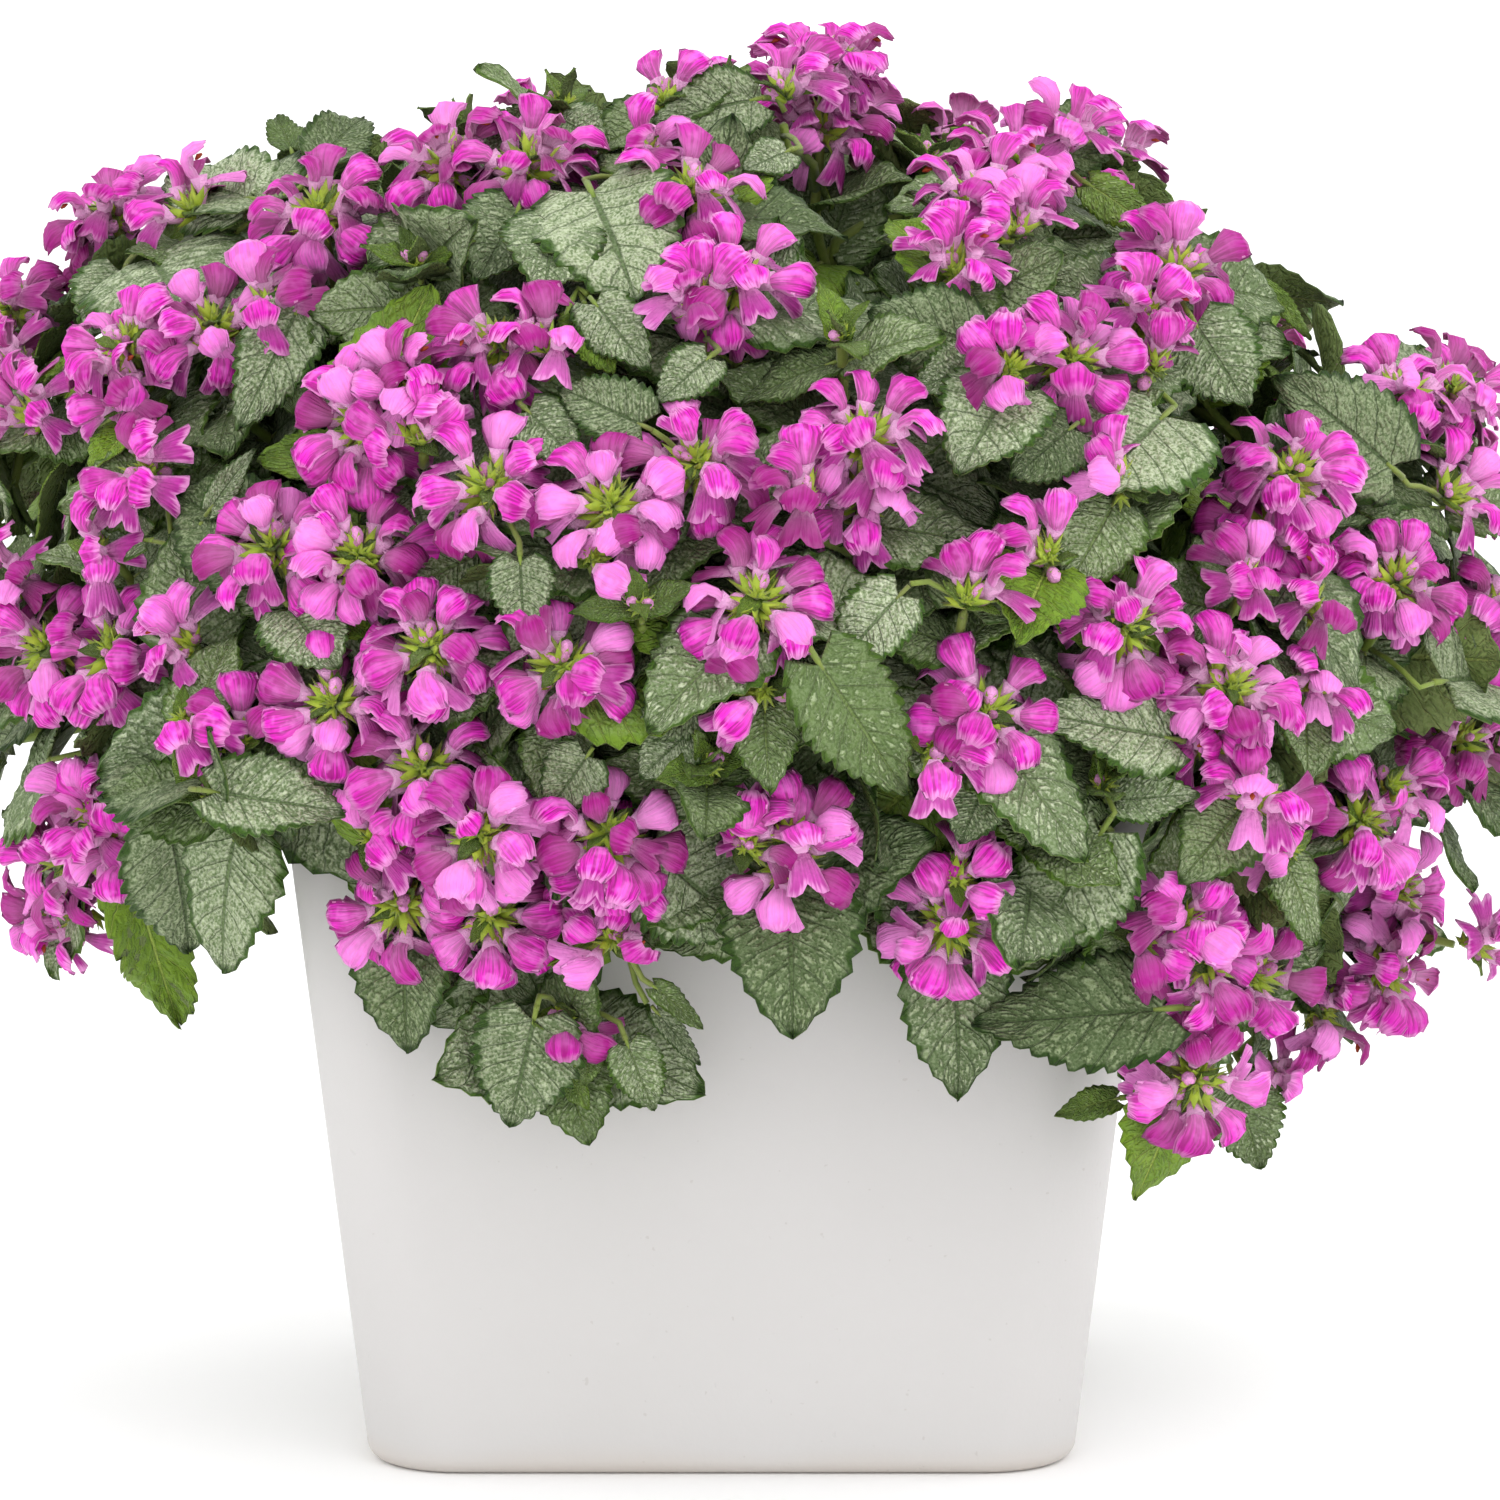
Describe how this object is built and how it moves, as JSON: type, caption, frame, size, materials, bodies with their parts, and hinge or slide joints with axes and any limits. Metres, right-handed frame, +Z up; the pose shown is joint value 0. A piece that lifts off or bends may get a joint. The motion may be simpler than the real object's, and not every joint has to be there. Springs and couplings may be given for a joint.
{
  "type": "potted dead nettle",
  "caption": "Potted spotted dead nettle in bloom: a mound of silver leaves and magenta flower heads over a plain square planter with rounded corners.",
  "frame": {"origin": "middle of the planter's underside, on the ground", "axes": "+Z up, the side that the picture shows looks along -Y, +X to its right"},
  "size_m": [0.4663, 0.3907, 0.3979],
  "materials": {
    "planter": "matte",
    "soil": "matte",
    "leaf": "matte",
    "petal": "satin"
  },
  "bodies": {
    "root": {"planter": "planter", "soil": "soil", "plant_1": "leaf", "plant_2": "leaf", "plant_3": "leaf", "plant_4": "leaf", "plant_5": "leaf", "plant_6": "leaf", "plant_7": "leaf", "plant_8": "leaf", "plant_9": "leaf", "plant_10": "leaf", "head_1": "petal", "head_2": "petal", "head_3": "petal", "head_4": "petal", "head_5": "petal", "head_6": "petal", "head_7": "petal", "head_8": "petal", "head_9": "petal", "head_10": "petal", "head_11": "petal", "head_12": "petal", "head_13": "petal", "head_14": "petal", "head_15": "petal", "head_16": "petal", "head_17": "petal", "head_18": "petal", "head_19": "petal", "head_20": "petal", "head_21": "petal", "head_22": "petal", "head_23": "petal", "head_24": "petal", "head_25": "petal", "head_26": "petal", "head_27": "petal", "head_28": "petal", "head_29": "petal", "head_30": "petal", "head_31": "petal", "head_32": "petal", "head_33": "petal", "head_34": "petal", "head_35": "petal", "head_36": "petal", "head_37": "petal", "head_38": "petal", "head_39": "petal", "head_40": "petal", "head_41": "petal", "head_42": "petal", "head_43": "petal", "head_44": "petal", "head_45": "petal", "head_46": "petal", "head_47": "petal", "head_48": "petal"}
  },
  "joints": []
}
